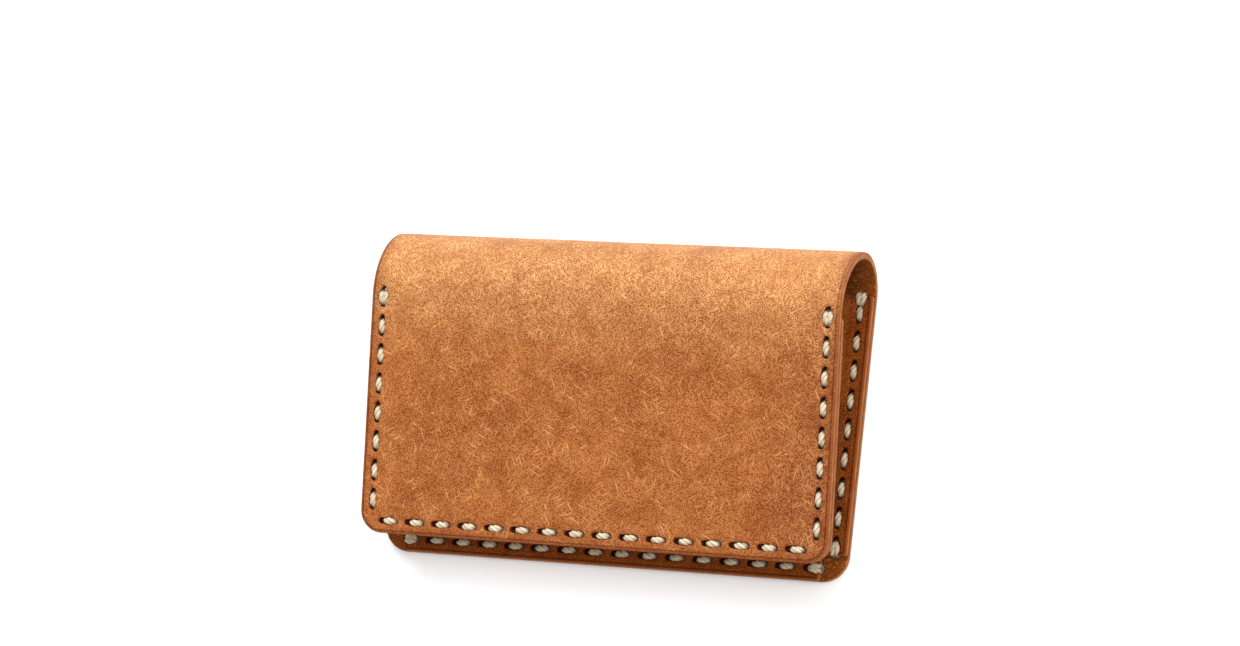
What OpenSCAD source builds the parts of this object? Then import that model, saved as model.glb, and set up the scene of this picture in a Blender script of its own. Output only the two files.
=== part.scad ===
// Hand-stitched leather card holder: one folded cover with a flat pocket sewn inside its flap and a
// box pocket sewn inside its back. It lies on its back: X runs across it, Y from the open edge towards
// the fold, and Z up from the surface it lies on, through the back, the box pocket and the flap.

/* [Cover] */
// Width of the cover and of both pockets
case_w = 110; // [104:1:120]
// Thickness of one layer of leather
leather = 1.7; // [1.5:0.1:1.9]
// Straight length of the back, from its open edge to the fold
back_len = 62.2; // [61.8:0.1:64]
// Corner radius of the back
back_corner_r = 6; // [4:0.5:8]

/* [Fold] */
// Outer radius of the fold where it leaves the back
rear_r = 8.4; // [8:0.1:9]
// Outer radius of the fold where it runs into the flap
front_r = 14.5; // [14.4:0.1:16]

/* [Flap] */
// Slope of the closed flap, which comes down towards its free edge
flap_slope = 8.8; // [8:0.1:8.8]
// Straight length of the flap, from the fold to its free edge
flap_len = 52.2; // [52:0.1:54]
// Corner radius of the flap
flap_corner_r = 5; // [4:0.5:7]
// Height of the flat pocket inside the flap
flap_pocket_h = 52.1; // [51.4:0.1:52.3]

/* [Box pocket] */
// Width of the flange that is sewn to the back
flange_w = 5.7; // [5.5:0.1:6]
// Outer depth of the box, from the back's inner face to the front of the pocket
box_depth = 10.1; // [7:0.1:10.1]
// Height of the pocket's mouth above the open edge
box_top = 62.3; // [61.2:0.1:62.3]
// Outer radius of the bends round the front of the pocket
bend_r = 2.2; // [1.9:0.1:3]

/* [Stitching] */
// Distance between one hole and the next
stitch = 3.2; // [3.2:0.05:3.25]
// Distance from a row of holes to the edge of the leather
margin = 2.7; // [2.5:0.1:2.8]
// Distance from the bottom row to the first hole of a side row
corner_step = 2.9; // [2.8:0.1:3]
// Diameter of a stitch hole
hole_d = 1.6; // [1.6:0.05:1.8]
// Thickness of the waxed thread
thread = 1.1; // [0.9:0.05:1.1]

/* [Hidden] */

eps = 0.5;                        // how far a cutting tool runs past the face it cuts
rear_turn = 90;                   // turn of the fold round its rear radius
fold_turn = 180 + flap_slope;     // turn of the whole fold
hinge_turns = [22, 66, 110, 154]; // where the fold bends as the flap opens
half_gap = 0.4;                   // half the cut between two stretches of the fold, in degrees
facet = 4;                        // largest turn of one facet of a bend, in degrees

groove_w = thread + 0.2;          // width of the groove that a stitch is pulled into
proud = 0.1;                      // how far a stitch stands out of its groove where it shows
sunk = 0.1;                       // how far it lies below the surface on the other side
corner_gap = 2.5;                 // least distance in X between a bottom row and a side row
front_centre = [back_len + rear_r - front_r, rear_r];

// Each bottom row has an even number of holes, so it starts and ends with a stitch that shows. Each side
// row ends one hole past its pocket's top edge, so its last stitch goes over that edge.
layers = 2 * leather;             // both sewn seams hold two layers
side_x = case_w / 2 - margin;     // X of the side rows
row_start = margin + corner_step; // first hole of a side row, from the open edge
bottom_holes = 2 * floor((side_x - corner_gap) / stitch + 0.5);
flap_side_holes = 2 + 2 * floor((flap_pocket_h - row_start) / stitch / 2);
back_side_holes = 3 + 2 * floor((box_top - row_start) / stitch / 2);
row_half = (bottom_holes - 1) / 2 * stitch;

// The design is drawn from the open edge, y = 0, and placed with its outline centred on the origin
module placed() { translate([0, -(back_len + rear_r) / 2, 0]) children(); }

// A point of the fold's cross-section in Y and Z, where it has turned by turn, inset from its outer face
function fold_point(turn, inset) =
    turn <= rear_turn
        ? [back_len + (rear_r - inset) * sin(turn), rear_r - (rear_r - inset) * cos(turn)]
        : front_centre + (front_r - inset) * [sin(turn), -cos(turn)];

function fold_run(from, to, inset) =
    let (n = ceil(abs(to - from) / facet)) [for (i = [0:n]) fold_point(from + (to - from) * i / n, inset)];

// A stretch of the fold, out along its outer face and back along its inner one
function fold_outline(from, to) = concat(fold_run(from, to, 0), fold_run(to, from, leather));

function quarter(centre, r, from) = [for (a = [0:9:90]) centre + r * [cos(from + a), sin(from + a)]];

// A strip with its two lower corners rounded
function tab_outline(low, high, r) = concat(
    [[case_w / 2, high], [-case_w / 2, high]],
    quarter([r - case_w / 2, low + r], r, 180),
    quarter([case_w / 2 - r, low + r], r, 270)
);

function has(list, value) = len([for (v = list) if (v == value) v]) > 0;

// Intervals between holes that a running stitch crosses on the side that shows, and on the other side.
// Where it is doubled it crosses on both.
function shown(holes, doubled) = [for (i = [0:holes - 2]) if (i % 2 == 0 || has(doubled, i)) i];
function hidden(holes, doubled) = [for (i = [0:holes - 2]) if (i % 2 == 1 || has(doubled, i)) i];

flap_root = fold_point(fold_turn, 0);
flap_along = [cos(flap_slope), sin(flap_slope)];
flap_edge = flap_root - flap_len * flap_along;
flap_inward = leather * [sin(flap_slope), -cos(flap_slope)];

flap_doubled = [flap_side_holes - 2];
back_side_doubled = [0, back_side_holes - 2];
back_bottom_doubled = [0, bottom_holes - 2];

// Extrudes an outline drawn in Y and Z across the whole width
module across() { rotate([90, 0, 90]) linear_extrude(case_w, center = true) children(); }

// The flap's frame: its outer face is z = 0 and its bottom row of holes is y = 0
module on_flap() {
    row = flap_edge + margin * flap_along;
    translate([0, row[0], row[1]]) rotate([flap_slope, 0, 0]) children();
}

// The back's frame: its bottom row of holes is y = 0, and z is as everywhere else
module on_back() { translate([0, margin, 0]) children(); }

// A seam's frame: x runs along it from its first hole
module on_bottom_row() { translate([-row_half, 0, 0]) children(); }
module on_side_row(side) { translate([side * side_x, corner_step, 0]) rotate([0, 0, 90]) children(); }

// From the first hole of a side row to the nearest hole of the bottom row
module on_corner(side) {
    translate([side * side_x, corner_step, 0])
        rotate([0, 0, atan2(-corner_step, -side * (side_x - row_half))]) children();
}
corner_len = norm([side_x - row_half, corner_step]);

module bar(from, length, w, low, high) { translate([from, -w / 2, low]) cube([length, w, high - low]); }

module hole_row(holes, low, high) {
    for (i = [0:holes - 1]) translate([i * stitch, 0, low]) cylinder(h = high - low, d = hole_d, $fn = 24);
}

module groove_row(intervals, low, high) {
    for (i = intervals) bar(i * stitch, stitch, groove_w, low, high);
}

// A running stitch through two layers, between the heights low and high
module stitch_row(holes, doubled, low, high) {
    rotate([90, 0, 0]) linear_extrude(thread, center = true) {
        for (i = [0:holes - 1]) translate([i * stitch - thread / 2, low]) square([thread, high - low]);
        for (i = shown(holes, doubled))
            translate([i * stitch - thread / 2, high - thread]) square([stitch + thread, thread]);
        for (i = hidden(holes, doubled))
            translate([i * stitch - thread / 2, low]) square([stitch + thread, thread]);
    }
}

flap_high = proud;
flap_low = sunk - layers;
back_high = layers + proud;
back_low = sunk;

// The stitch holes, through the cover and the pocket together
module flap_holes() {
    on_flap() {
        on_bottom_row() hole_row(bottom_holes, -layers - eps, eps);
        for (side = [-1, 1]) on_side_row(side) hole_row(flap_side_holes, -layers - eps, eps);
    }
}

module back_holes() {
    on_back() {
        on_bottom_row() hole_row(bottom_holes, -eps, layers + eps);
        for (side = [-1, 1]) on_side_row(side) hole_row(back_side_holes, -eps, layers + eps);
    }
}

module cover_back() {
    color("#b87442") difference() {
        intersection() {
            across() polygon(concat(
                [[0, 0]], fold_outline(0, hinge_turns[0] - half_gap), [[0, leather]]
            ));
            linear_extrude(2 * rear_r) polygon(tab_outline(0, back_len + rear_r, back_corner_r));
        }
        back_holes();
        on_back() {
            on_bottom_row()
                groove_row(hidden(bottom_holes, back_bottom_doubled), -eps, back_low + thread);
            for (side = [-1, 1]) on_side_row(side)
                groove_row(hidden(back_side_holes, back_side_doubled), -eps, back_low + thread);
        }
    }
}

// One stretch of the fold between two of the lines where it bends
module cover_fold(i) {
    color("#cf8b50") across()
        polygon(fold_outline(hinge_turns[i] + half_gap, hinge_turns[i + 1] - half_gap));
}

module cover_flap() {
    color("#bd7a45") difference() {
        intersection() {
            across() polygon(concat(
                fold_run(hinge_turns[3] + half_gap, fold_turn, 0),
                [flap_edge, flap_edge + flap_inward],
                fold_run(fold_turn, hinge_turns[3] + half_gap, leather)
            ));
            on_flap() translate([0, 0, -2 * rear_r])
                linear_extrude(3 * rear_r) polygon(tab_outline(-margin, back_len, flap_corner_r));
        }
        flap_holes();
        on_flap() {
            on_bottom_row() groove_row(shown(bottom_holes, []), flap_high - thread, eps);
            for (side = [-1, 1]) on_side_row(side)
                groove_row(shown(flap_side_holes, flap_doubled), flap_high - thread, eps);
        }
    }
}

// Flat pocket inside the flap, sewn along three edges and open towards the fold
module flap_pocket() {
    color("#9c5c34") difference() {
        on_flap() translate([0, 0, -layers]) linear_extrude(leather)
            polygon(tab_outline(-margin, flap_pocket_h - margin, flap_corner_r));
        flap_holes();
        on_flap() {
            on_bottom_row() groove_row(hidden(bottom_holes, []), -layers - eps, flap_low + thread);
            for (side = [-1, 1]) {
                on_side_row(side)
                    groove_row(hidden(flap_side_holes, flap_doubled), -layers - eps, flap_low + thread);
                on_corner(side) bar(0, corner_len, groove_w, -layers - eps, flap_low + thread);
            }
        }
    }
}

// The space that a box takes, from the back's inner face up, with bends of radius r round its front
module box_space(half_w, low, high, depth, r) {
    top = leather + depth;
    intersection() {
        translate([0, high, 0]) rotate([90, 0, 0]) linear_extrude(high - low) polygon(concat(
            [[-half_w, leather], [half_w, leather]],
            quarter([half_w - r, top - r], r, 0),
            quarter([r - half_w, top - r], r, 90)
        ));
        across() polygon(concat(
            [[low, leather], [high, leather], [high, top]], quarter([low + r, top - r], r, 90)
        ));
    }
}

// Box pocket folded from one piece: a front, three walls and three flanges. The corners of the piece
// are cut away, so the back's inner face shows beside the ends of the flanges.
module box_pocket() {
    half_w = case_w / 2 - flange_w;
    color("#8f5230") difference() {
        union() {
            box_space(half_w, flange_w, box_top, box_depth, bend_r);
            translate([-case_w / 2, flange_w, leather]) cube([case_w, box_top - flange_w, leather]);
            translate([-half_w, 0, leather]) cube([2 * half_w, flange_w + leather, leather]);
        }
        translate([0, 0, -eps]) linear_extrude(leather + 2 * eps)
            polygon([
                [leather - half_w, flange_w + leather], [half_w - leather, flange_w + leather],
                [half_w - leather, box_top + eps], [leather - half_w, box_top + eps]
            ]);
        box_space(half_w - leather, flange_w + leather, box_top + eps, box_depth - leather, bend_r - leather);
        back_holes();
        on_back() {
            on_bottom_row()
                groove_row(shown(bottom_holes, back_bottom_doubled), back_high - thread, layers + eps);
            for (side = [-1, 1]) on_side_row(side)
                groove_row(shown(back_side_holes, back_side_doubled), back_high - thread, layers + eps);
        }
    }
}

// One thread sews the flap: down the left side, along the bottom and up the right side
module flap_seam_thread() {
    color("#e6dcc8") on_flap() {
        on_bottom_row() stitch_row(bottom_holes, [], flap_low, flap_high);
        for (side = [-1, 1]) {
            on_side_row(side) stitch_row(flap_side_holes, flap_doubled, flap_low, flap_high);
            on_corner(side) bar(0, corner_len, thread, flap_low, flap_low + thread);
        }
    }
}

module side_seam_thread(side) {
    color("#e6dcc8") on_back() on_side_row(side)
        stitch_row(back_side_holes, back_side_doubled, back_low, back_high);
}

module bottom_seam_thread() {
    color("#e6dcc8") on_back() on_bottom_row()
        stitch_row(bottom_holes, back_bottom_doubled, back_low, back_high);
}

placed() cover_back();
placed() cover_fold(0);  // cover_fold_1
placed() cover_fold(1);  // cover_fold_2
placed() cover_fold(2);  // cover_fold_3
placed() cover_flap();
placed() flap_pocket();
placed() box_pocket();
placed() flap_seam_thread();
placed() side_seam_thread(-1);  // left_seam_thread
placed() bottom_seam_thread();
placed() side_seam_thread(1);  // right_seam_thread
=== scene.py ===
"""The looks of the leather card holder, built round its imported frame.

Lengths are in millimetres until a mesh is made. The cover and the flap's pocket are laid out flat, in u
across and v along the outer face from the back's open edge to the flap's free edge, and then bent. The box
pocket has a flat pattern of its own.
"""

import math

import bpy
import numpy as np
from mathutils import Matrix, Vector
from mathutils.geometry import delaunay_2d_cdt, tessellate_polygon


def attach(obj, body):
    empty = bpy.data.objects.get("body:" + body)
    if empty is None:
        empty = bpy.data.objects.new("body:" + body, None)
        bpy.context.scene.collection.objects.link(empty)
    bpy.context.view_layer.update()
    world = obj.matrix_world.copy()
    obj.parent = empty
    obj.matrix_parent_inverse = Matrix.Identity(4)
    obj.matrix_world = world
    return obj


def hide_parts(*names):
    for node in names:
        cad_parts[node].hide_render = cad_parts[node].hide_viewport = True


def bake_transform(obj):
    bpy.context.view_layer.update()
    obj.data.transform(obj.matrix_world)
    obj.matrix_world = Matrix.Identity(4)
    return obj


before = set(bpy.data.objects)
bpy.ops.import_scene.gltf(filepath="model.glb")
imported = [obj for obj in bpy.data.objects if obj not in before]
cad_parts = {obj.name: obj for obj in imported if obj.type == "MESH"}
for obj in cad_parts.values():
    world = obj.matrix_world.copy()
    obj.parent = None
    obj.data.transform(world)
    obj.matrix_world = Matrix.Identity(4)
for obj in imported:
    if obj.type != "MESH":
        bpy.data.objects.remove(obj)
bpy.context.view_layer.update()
RNG = np.random.default_rng(7)
MM = 0.001

# ---- Sizes of the design ----
HALF_W = 55.0
THICK = 1.7
BACK_LEN = 62.2
REAR_R = 8.4
FRONT_R = 14.5
SLOPE = math.radians(8.8)
FLAP_LEN = 52.2
FLAP_POCKET_H = 52.1
BACK_CORNER_R = 6.0
FLAP_CORNER_R = 5.0
Y_MID = (BACK_LEN + REAR_R) / 2

STITCH = 3.2
MARGIN = 2.7
CORNER_STEP = 2.9
SIDE_U = HALF_W - MARGIN
BOTTOM_HOLES = 32
FLAP_SIDE_HOLES = 16
BACK_SIDE_HOLES = 19
ROW_HALF = (BOTTOM_HOLES - 1) / 2 * STITCH
HOLE_R = 0.6
HOLE_SIDES = 14
FLANGE = 5.7

# ---- The cover's flat layout ----
V_REAR = BACK_LEN
V_FRONT = V_REAR + REAR_R * math.pi / 2
V_FLAP = V_FRONT + FRONT_R * (math.pi / 2 + SLOPE)
V_END = V_FLAP + FLAP_LEN
FRONT_Y = BACK_LEN + REAR_R - FRONT_R


def v_at(turn):
    """Where the cover's outer face has turned by that many degrees."""
    a = math.radians(turn)
    return V_REAR + REAR_R * a if turn <= 90 else V_FRONT + FRONT_R * (a - math.pi / 2)


def on_cover(u, v, w):
    """Points at (u, v) of the flat layout and at depth w under the cover's outer face."""
    u, v, w = np.broadcast_arrays(*(np.asarray(q, float) for q in (u, v, w)))
    rear = np.clip((v - V_REAR) / REAR_R, 0, math.pi / 2)
    front = np.clip((v - V_FRONT) / FRONT_R, 0, math.pi / 2 + SLOPE)
    a = rear + front
    s, c = np.sin(a), np.cos(a)
    first = v < V_FRONT
    y = np.where(first, BACK_LEN + REAR_R * np.sin(rear), FRONT_Y + FRONT_R * s)
    z = np.where(first, REAR_R - REAR_R * np.cos(rear), REAR_R - FRONT_R * c)
    before, after = np.minimum(v - V_REAR, 0), np.maximum(v - V_FLAP, 0)
    y = y + before - after * math.cos(SLOPE)
    z = z - after * math.sin(SLOPE)
    return np.stack([u, y - s * w - Y_MID, z + c * w], -1)


# ---- The box pocket's flat pattern: its front, then a bend, a wall, a fillet and a flange on three sides ----
BOX_TOP = 62.3
BOX_FRONT_Z = 11.8
BEND_R = 2.2
FILLET_R = 0.8
FRONT_HALF = HALF_W - FLANGE - BEND_R
FRONT_LOW = FLANGE + BEND_R
S_WALL = BEND_R * math.pi / 2
S_FILLET = S_WALL + BOX_FRONT_Z - BEND_R - 2 * THICK - FILLET_R
S_FLANGE = S_FILLET + FILLET_R * math.pi / 2
S_END = S_FLANGE + FRONT_LOW - BEND_R - FILLET_R
PATTERN_HALF = FRONT_HALF + S_END
PATTERN_LOW = FRONT_LOW - S_END


def box_section(s):
    """Offset, height and normal of the outer face at s along the section, from where it leaves the front."""
    a = np.clip(s / BEND_R, 0, math.pi / 2)
    b = np.clip((s - S_FILLET) / FILLET_R, 0, math.pi / 2)
    wall = np.clip(s - S_WALL, 0, S_FILLET - S_WALL)
    flange = np.maximum(s - S_FLANGE, 0)
    o = BEND_R * np.sin(a) + FILLET_R * (1 - np.cos(b)) + flange + np.minimum(s, 0)
    z = BOX_FRONT_Z - BEND_R * (1 - np.cos(a)) - wall - FILLET_R * np.sin(b)
    return o, z, np.sin(a) * np.cos(b), np.where(s < S_WALL, np.cos(a), np.sin(b))


def on_box(u, v, w):
    """Points at (u, v) of the box pocket's pattern and at depth w under its outer face."""
    u, v, w = np.broadcast_arrays(*(np.asarray(q, float) for q in (u, v, w)))
    past, under = np.abs(u) - FRONT_HALF, FRONT_LOW - v
    so, sz, sno, snz = box_section(past)
    lo, lz, lno, lnz = box_section(under)
    side = past > np.maximum(0.6 * under, 0)
    low = ~side & (under > 0)
    x = np.where(side, np.sign(u) * (FRONT_HALF + so - sno * w), u)
    y = np.where(low, FRONT_LOW - lo + lno * w, v)
    z = np.where(low, lz - lnz * w, np.where(side, sz - snz * w, BOX_FRONT_Z - w))
    return np.stack([x, y - Y_MID, z], -1)


# ---- Outlines, as closed loops of points that run anticlockwise ----
ARC_STEP = 0.35


def arc(cx, cy, r, start, end):
    """Points of an arc between two angles in degrees, its ends included."""
    n = max(2, int(abs(math.radians(end - start)) * r / ARC_STEP) + 2)
    a = np.radians(np.linspace(start, end, n))
    return np.stack([cx + r * np.cos(a), cy + r * np.sin(a)], 1)


# Arcs that round a corner at (u, v), at the lower and at the upper end of a right edge
def low_corner(u, v, r):
    return arc(u - r, v + r, r, -90, 0)


def high_corner(u, v, r):
    return arc(u - r, v - r, r, 0, 90)


def line(a, b, step=0.5, stops=()):
    """Points from a to b, both left out, with one at each stop, which is a v that the line crosses."""
    a, b = np.array(a, float), np.array(b, float)
    t = np.linspace(0, 1, int(np.linalg.norm(b - a) / step) + 2)[1:-1]
    extra = [(q - a[1]) / (b[1] - a[1]) for q in stops]
    t = np.array([q for q in t if all(abs(q - e) > 0.3 * step / np.linalg.norm(b - a) for e in extra)] + extra)
    t.sort()
    return a + t[:, None] * (b - a)


def mirrored(half):
    """A loop from its right half, which runs from the bottom middle to the top middle."""
    left = half[::-1].copy()
    left[:, 0] *= -1
    keep = np.abs(left[:, 0]) > 1e-9
    return np.concatenate([half, left[keep]])


def strip_outline(low, high, r_low, r_high, stops=()):
    """A strip as wide as the cover, between two values of v, with rounded corners."""
    w = HALF_W
    parts = [[[0, low]], line((0, low), (w - r_low, low)), low_corner(w, low, r_low)]
    parts += [line((w, low + r_low), (w, high - r_high), stops=stops), high_corner(w, high, r_high)]
    parts += [line((w - r_high, high), (0, high)), [[0, high]]]
    return mirrored(np.concatenate(parts))


def inset(loop, d):
    """The loop moved inwards by d."""
    back, ahead = loop - np.roll(loop, 1, 0), np.roll(loop, -1, 0) - loop
    nb = np.stack([-back[:, 1], back[:, 0]], 1) / np.linalg.norm(back, axis=1)[:, None]
    na = np.stack([-ahead[:, 1], ahead[:, 0]], 1) / np.linalg.norm(ahead, axis=1)[:, None]
    n = nb + na
    n /= np.maximum((n * n).sum(1), 0.5)[:, None] / 2
    return loop + n * d


# Points are dealt with in blocks of this many, which keeps the arrays small
BLOCK = 2000


def exact_distance(p, loop):
    """Distance of each point from the loop."""
    out = np.zeros(len(p))
    d = np.roll(loop, -1, 0) - loop
    ll = (d * d).sum(1)
    for i in range(0, len(p), BLOCK):
        x, y = p[i : i + BLOCK, :1] - loop[:, 0], p[i : i + BLOCK, 1:] - loop[:, 1]
        t = np.clip((x * d[:, 0] + y * d[:, 1]) / ll, 0, 1)
        out[i : i + BLOCK] = np.sqrt(((x - t * d[:, 0]) ** 2 + (y - t * d[:, 1]) ** 2).min(1))
    return out


def edge_distance(p, loop):
    """Distance from the loop: exact near it, and from every eighth of its points further in."""
    out = exact_distance(p, loop[::8])
    near = out < 3.0
    out[near] = exact_distance(p[near], loop)
    return out


def inside(p, loop):
    """Which of the points lie inside the loop."""
    a, b = loop, np.roll(loop, -1, 0)
    rise = b[:, 1] - a[:, 1]
    rise = np.where(np.abs(rise) < 1e-12, 1e-12, rise)
    out = np.zeros(len(p), bool)
    for i in range(0, len(p), BLOCK):
        x, y = p[i : i + BLOCK, :1], p[i : i + BLOCK, 1:]
        up = (a[:, 1] > y) != (b[:, 1] > y)
        cross = a[:, 0] + (y - a[:, 1]) * (b[:, 0] - a[:, 0]) / rise
        out[i : i + BLOCK] = (up & (x < cross)).sum(1) % 2 == 1
    return out


# ---- Relief of the leather ----
GRID = np.random.default_rng(11).uniform(-1, 1, (64, 64))


def noise2(u, v, size):
    """Smooth value noise whose bumps are about size across."""
    x, y = np.asarray(u) / size + 400, np.asarray(v) / size + 400
    i, j = np.floor(x).astype(int), np.floor(y).astype(int)
    fx, fy = x - i, y - j
    fx, fy = fx * fx * (3 - 2 * fx), fy * fy * (3 - 2 * fy)
    g = lambda a, b: GRID[a % 64, b % 64]
    low = g(i, j) * (1 - fx) + g(i + 1, j) * fx
    high = g(i, j + 1) * (1 - fx) + g(i + 1, j + 1) * fx
    return low * (1 - fy) + high * fy


# How far a slot runs on past the hole that its stitch was pulled away from
SLOT_PULL = 0.36
# Half width of a slot at its ends and in its middle, and in the middle of one whose stitch is doubled
SLOT_END, SLOT_MID, SLOT_WIDE = 0.66, 0.86, 1.3
# How far a pit's surface lies below the leather, by distance from its axis in units of its half width
PIT_Q = np.array([0, 0.80, 0.85, 0.92, 1.0, 1.07, 1.16, 1.3, 1.6, 2.3])
PIT_H = np.array([1.05, 1.0, 0.86, 0.45, 0.22, 0.155, 0.12, 0.085, 0.04, 0])
PIT_REACH = 3.4
RINGS = (0.85, 0.92, 1.0, 1.07, 1.16, 1.3, 1.6, 2.0)


class Pit:
    """The slot that a stitch is pulled into, between the holes a and b."""

    def __init__(self, a, b, wide=False, pulled=None):
        self.a, self.b = np.array(a, float), np.array(b, float)
        if pulled:
            to = (self.b - self.a) / np.linalg.norm(self.b - self.a)
            if to @ pulled > 0:
                self.a = self.a - SLOT_PULL * to
            else:
                self.b = self.b + SLOT_PULL * to
        self.d = self.b - self.a
        self.length = np.linalg.norm(self.d)
        self.t = self.d / self.length
        self.n = np.array([-self.t[1], self.t[0]])
        jitter = RNG.uniform(-0.03, 0.03, 2)
        self.end = SLOT_END + jitter[0]
        self.mid = (SLOT_WIDE if wide else SLOT_MID) + jitter[1]

    def half_width(self, s):
        return self.end + (self.mid - self.end) * np.sin(np.pi * np.clip(s, 0, 1)) ** 1.2

    def q(self, p):
        """Distance of each point from the axis, in half widths."""
        s = np.clip(((p - self.a) @ self.d) / self.length**2, 0, 1)
        gap = p - self.a - s[:, None] * self.d
        return np.sqrt((gap * gap).sum(1)) / self.half_width(s)

    def ring(self, k):
        """Points all round the slot, at k half widths from its axis."""
        s = np.linspace(0, 1, 13)
        w = self.half_width(s)[:, None] * k
        spine = self.a + s[:, None] * self.d
        turn = np.linspace(0, np.pi, 10)[1:-1, None]
        cap_b = self.b + self.half_width(1) * k * (np.cos(turn) * -self.n + np.sin(turn) * self.t)
        cap_a = self.a + self.half_width(0) * k * (np.cos(turn) * self.n - np.sin(turn) * self.t)
        return np.concatenate([spine - w * self.n, cap_b, (spine + w * self.n)[::-1], cap_a])


def pit_relief(p, pits):
    """Depth of the pits at each point, and its distance from the nearest rim, negative inside."""
    depth, rim = np.zeros(len(p)), np.full(len(p), 4.0)
    for pit in pits:
        near = np.abs(p - (pit.a + pit.b) / 2).max(1) < pit.length / 2 + PIT_REACH
        q = pit.q(p[near])
        depth[near] = np.maximum(depth[near], np.interp(q, PIT_Q, PIT_H))
        rim[near] = np.minimum(rim[near], (q - 1) * 0.84)
    return depth, rim


# ---- A sheet of leather ----
# Spacing of the lattice far from the outline and near it, and how far the two reach
COARSE, FINE = 1.1, 0.55
COARSE_FROM, FINE_TO = 6.4, 6.0
# Spacing across and along a stretch that is bent
FOLD_STEP_U, FOLD_STEP_V = 1.0, 0.28
# The line pressed in along the edge: how far in from the rounding, how wide and how deep
CREASE_IN, CREASE_W, CREASE_DEEP = 0.18, 0.13, 0.05
# Rings of points along the edge: at these shares of the rounding, and how far past it the last one is
ROUND_AT, RINGED = (0.07, 0.26, 0.55, 1.0), 0.4
# Least distance of other points from the last ring, the slots' rims, the holes and the cuts, and of a slot's
# points from the last ring
CLEAR_RING, CLEAR_RIM, CLEAR_HOLE, CLEAR_CUT, PIT_CLEAR_RING = 0.22, 0.95, 0.05, 0.13, 0.06


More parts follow.
